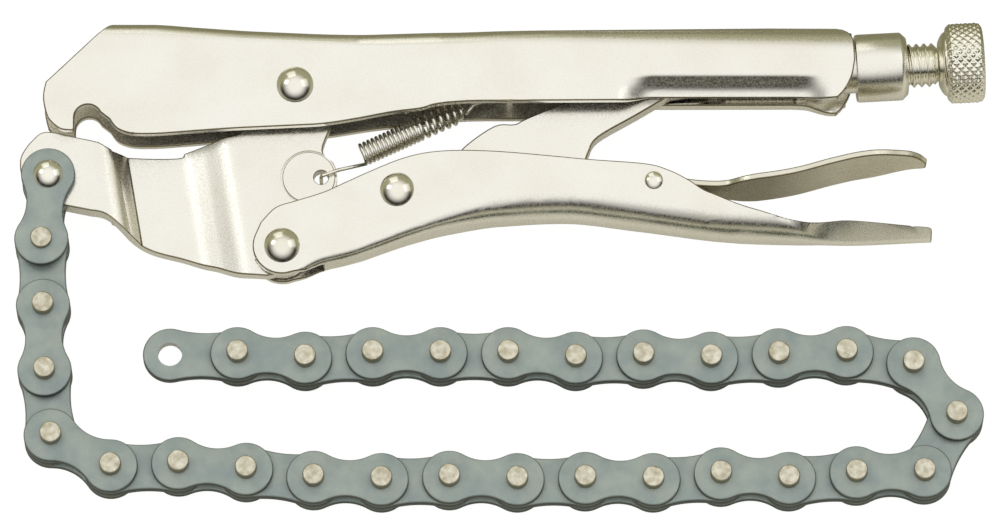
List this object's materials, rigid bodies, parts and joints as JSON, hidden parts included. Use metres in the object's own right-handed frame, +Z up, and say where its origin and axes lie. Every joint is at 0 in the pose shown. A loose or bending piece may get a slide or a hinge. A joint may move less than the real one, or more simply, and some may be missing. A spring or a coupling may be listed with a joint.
{
  "type": "chain clamp",
  "caption": "Locking plier whose short front jaw carries a length of plate chain that wraps round the work and hooks back on the upper handle's open hooks.",
  "frame": {"origin": "centre of the bounding box in X and Y, on the surface that the tool lies on", "axes": "+X along the tool towards its adjusting knob, +Y across it towards the back of the upper handle, +Z up through the tool as it lies on its side"},
  "size_m": [0.2288, 0.119, 0.019],
  "materials": {
    "satin_nickel": "satin nickel plate",
    "bright_steel": "bright nickel plate",
    "blued_steel": "blue-grey heat-treated plate",
    "pin_steel": "bare turned steel"
  },
  "bodies": {
    "upper": {"upper_handle": "satin_nickel", "jaw_rivet": "bright_steel", "jaw_washer_near": "satin_nickel", "jaw_washer_far": "satin_nickel", "screw_sleeve": "satin_nickel", "spring_anchor": "bright_steel", "tension_spring": "bright_steel"},
    "jaw": {"jaw": "satin_nickel"},
    "lower": {"lower_handle": "satin_nickel", "lower_handle_rivet": "bright_steel", "toggle_rivet": "bright_steel", "lever_rivet": "bright_steel"},
    "toggle": {"toggle_link": "satin_nickel"},
    "lever": {"release_lever": "satin_nickel"},
    "screw": {"adjusting_screw": "bright_steel"},
    "knob": {"adjusting_knob": "bright_steel"},
    "first_link": {"first_link_near_plate": "blued_steel", "first_link_far_plate": "blued_steel", "first_link_pin": "pin_steel", "chain_rivet": "pin_steel"},
    "link_01": {"inner_link_01": "blued_steel"},
    "link_02": {"outer_link_02": "blued_steel"},
    "link_03": {"inner_link_03": "blued_steel"},
    "link_04": {"outer_link_04": "blued_steel"},
    "link_05": {"inner_link_05": "blued_steel"},
    "link_06": {"outer_link_06": "blued_steel"},
    "link_07": {"inner_link_07": "blued_steel"},
    "link_08": {"outer_link_08": "blued_steel"},
    "link_09": {"inner_link_09": "blued_steel"},
    "link_10": {"outer_link_10": "blued_steel"},
    "link_11": {"inner_link_11": "blued_steel"},
    "link_12": {"outer_link_12": "blued_steel"},
    "link_13": {"inner_link_13": "blued_steel"},
    "link_14": {"outer_link_14": "blued_steel"},
    "link_15": {"inner_link_15": "blued_steel"},
    "link_16": {"outer_link_16": "blued_steel"},
    "link_17": {"inner_link_17": "blued_steel"},
    "link_18": {"outer_link_18": "blued_steel"},
    "link_19": {"inner_link_19": "blued_steel"},
    "link_20": {"outer_link_20": "blued_steel"},
    "link_21": {"inner_link_21": "blued_steel"},
    "link_22": {"outer_link_22": "blued_steel"},
    "link_23": {"inner_link_23": "blued_steel"},
    "link_24": {"outer_link_24": "blued_steel"},
    "link_25": {"inner_link_25": "blued_steel"},
    "link_26": {"outer_link_26": "blued_steel"},
    "link_27": {"inner_link_27": "blued_steel"},
    "link_28": {"outer_link_28": "blued_steel"},
    "link_29": {"inner_link_29": "blued_steel"}
  },
  "joints": [
    {"name": "jaw_pivot", "type": "hinge", "parent": "upper", "child": "jaw", "pos_m": [-0.04864, 0.04259, 0.0095], "axis": [0, 0, 1], "range_deg": [0, 15], "deforming": ["tension_spring"]},
    {"name": "lower_handle_pivot", "type": "hinge", "parent": "jaw", "child": "lower", "pos_m": [-0.05151, 0.00349, 0.0095], "axis": [0, 0, 1], "range_deg": [-55.05, 0]},
    {"name": "toggle_pivot", "type": "hinge", "parent": "lower", "child": "toggle", "pos_m": [-0.0244, 0.01701, 0.0095], "axis": [0, 0, 1], "range_deg": [0, 58.19]},
    {"name": "release_lever_pivot", "type": "hinge", "parent": "lower", "child": "lever", "pos_m": [0.03585, 0.0185, 0.0095], "axis": [0, 0, 1], "range_deg": [-8, 4]},
    {"name": "screw_travel", "type": "slide", "parent": "upper", "child": "screw", "axis": [0.9985, 0.0541, 0], "range_m": [0, 0.009]},
    {"name": "knob_turn", "type": "hinge", "parent": "screw", "child": "knob", "pos_m": [0.08346, 0.04844, 0.0095], "axis": [0.9985, 0.0541, 0], "range_deg": [0, 1800]},
    {"name": "chain_pivot_00", "type": "hinge", "parent": "jaw", "child": "first_link", "pos_m": [-0.10669, 0.02099, 0.0095], "axis": [0, 0, 1], "range_deg": [-55.05, 0]},
    {"name": "chain_pivot_01", "type": "hinge", "parent": "first_link", "child": "link_01", "pos_m": [-0.10808, 0.00517, 0.0095], "axis": [0, 0, 1], "range_deg": [-90, 4]},
    {"name": "chain_pivot_02", "type": "hinge", "parent": "link_01", "child": "link_02", "pos_m": [-0.10752, -0.01069, 0.0095], "axis": [0, 0, -1], "range_deg": [-4, 90]},
    {"name": "chain_pivot_03", "type": "hinge", "parent": "link_02", "child": "link_03", "pos_m": [-0.10697, -0.02656, 0.0095], "axis": [0, 0, 1], "range_deg": [-60, 4]},
    {"name": "chain_pivot_04", "type": "hinge", "parent": "link_03", "child": "link_04", "pos_m": [-0.10531, -0.04234, 0.0095], "axis": [0, 0, -1], "range_deg": [-4, 60]},
    {"name": "chain_pivot_05", "type": "hinge", "parent": "link_04", "child": "link_05", "pos_m": [-0.09129, -0.0498, 0.0095], "axis": [0, 0, 1], "range_deg": [-45, 4]},
    {"name": "chain_pivot_06", "type": "hinge", "parent": "link_05", "child": "link_06", "pos_m": [-0.07543, -0.04924, 0.0095], "axis": [0, 0, -1], "range_deg": [-4, 45]},
    {"name": "chain_pivot_07", "type": "hinge", "parent": "link_06", "child": "link_07", "pos_m": [-0.05961, -0.05063, 0.0095], "axis": [0, 0, 1], "range_deg": [-30, 5]},
    {"name": "chain_pivot_08", "type": "hinge", "parent": "link_07", "child": "link_08", "pos_m": [-0.04386, -0.05256, 0.0095], "axis": [0, 0, 1], "range_deg": [-16, 5]},
    {"name": "chain_pivot_09", "type": "hinge", "parent": "link_08", "child": "link_09", "pos_m": [-0.02799, -0.05312, 0.0095], "axis": [0, 0, 1], "range_deg": [-10, 6]},
    {"name": "chain_pivot_10", "type": "hinge", "parent": "link_09", "child": "link_10", "pos_m": [-0.01213, -0.05256, 0.0095], "axis": [0, 0, 1], "range_deg": [-8, 7]},
    {"name": "chain_pivot_11", "type": "hinge", "parent": "link_10", "child": "link_11", "pos_m": [0.00374, -0.05312, 0.0095], "axis": [0, 0, 1], "range_deg": [-6, 6]},
    {"name": "chain_pivot_12", "type": "hinge", "parent": "link_11", "child": "link_12", "pos_m": [0.01961, -0.05284, 0.0095], "axis": [0, 0, 1], "range_deg": [-5, 5]},
    {"name": "chain_pivot_13", "type": "hinge", "parent": "link_12", "child": "link_13", "pos_m": [0.03549, -0.05312, 0.0095], "axis": [0, 0, 1], "range_deg": [-4, 4]},
    {"name": "chain_pivot_14", "type": "hinge", "parent": "link_13", "child": "link_14", "pos_m": [0.0513, -0.05173, 0.0095], "axis": [0, 0, 1], "range_deg": [-4, 4]},
    {"name": "chain_pivot_15", "type": "hinge", "parent": "link_14", "child": "link_15", "pos_m": [0.06714, -0.05284, 0.0095], "axis": [0, 0, 1], "range_deg": [-3, 4]},
    {"name": "chain_pivot_16", "type": "hinge", "parent": "link_15", "child": "link_16", "pos_m": [0.08295, -0.05146, 0.0095], "axis": [0, 0, 1], "range_deg": [-2.5, 2.5]},
    {"name": "chain_pivot_17", "type": "hinge", "parent": "link_16", "child": "link_17", "pos_m": [0.09882, -0.05118, 0.0095], "axis": [0, 0, 1], "range_deg": [-2.5, 2.5]},
    {"name": "chain_pivot_18", "type": "hinge", "parent": "link_17", "child": "link_18", "pos_m": [0.10652, -0.03729, 0.0095], "axis": [0, 0, 1], "range_deg": [-2.5, 2.5]},
    {"name": "chain_pivot_19", "type": "hinge", "parent": "link_18", "child": "link_19", "pos_m": [0.09653, -0.02496, 0.0095], "axis": [0, 0, -1], "range_deg": [-2.5, 2.5]},
    {"name": "chain_pivot_20", "type": "hinge", "parent": "link_19", "child": "link_20", "pos_m": [0.08089, -0.0222, 0.0095], "axis": [0, 0, -1], "range_deg": [-2.5, 3]},
    {"name": "chain_pivot_21", "type": "hinge", "parent": "link_20", "child": "link_21", "pos_m": [0.06503, -0.02275, 0.0095], "axis": [0, 0, -1], "range_deg": [-3, 4]},
    {"name": "chain_pivot_22", "type": "hinge", "parent": "link_21", "child": "link_22", "pos_m": [0.04918, -0.02358, 0.0095], "axis": [0, 0, -1], "range_deg": [-4, 4]},
    {"name": "chain_pivot_23", "type": "hinge", "parent": "link_22", "child": "link_23", "pos_m": [0.03331, -0.02303, 0.0095], "axis": [0, 0, -1], "range_deg": [-4, 5]},
    {"name": "chain_pivot_24", "type": "hinge", "parent": "link_23", "child": "link_24", "pos_m": [0.01745, -0.02358, 0.0095], "axis": [0, 0, -1], "range_deg": [-5, 5]},
    {"name": "chain_pivot_25", "type": "hinge", "parent": "link_24", "child": "link_25", "pos_m": [0.00161, -0.02248, 0.0095], "axis": [0, 0, -1], "range_deg": [-6, 7]},
    {"name": "chain_pivot_26", "type": "hinge", "parent": "link_25", "child": "link_26", "pos_m": [-0.01427, -0.02248, 0.0095], "axis": [0, 0, -1], "range_deg": [-7, 9]},
    {"name": "chain_pivot_27", "type": "hinge", "parent": "link_26", "child": "link_27", "pos_m": [-0.03014, -0.02248, 0.0095], "axis": [0, 0, -1], "range_deg": [-9, 13]},
    {"name": "chain_pivot_28", "type": "hinge", "parent": "link_27", "child": "link_28", "pos_m": [-0.04598, -0.02358, 0.0095], "axis": [0, 0, -1], "range_deg": [-14, 18]},
    {"name": "chain_pivot_29", "type": "hinge", "parent": "link_28", "child": "link_29", "pos_m": [-0.06181, -0.02248, 0.0095], "axis": [0, 0, -1], "range_deg": [-40, 37]}
  ],
  "couplings": [
    {"joint": "lower_handle_pivot", "follows": "jaw_pivot", "ratio": -3.67},
    {"joint": "toggle_pivot", "follows": "jaw_pivot", "ratio": 3.879},
    {"joint": "chain_pivot_00", "follows": "jaw_pivot", "ratio": -3.67},
    {"joint": "knob_turn", "follows": "screw_travel", "rad_per_m": 3490.7}
  ]
}
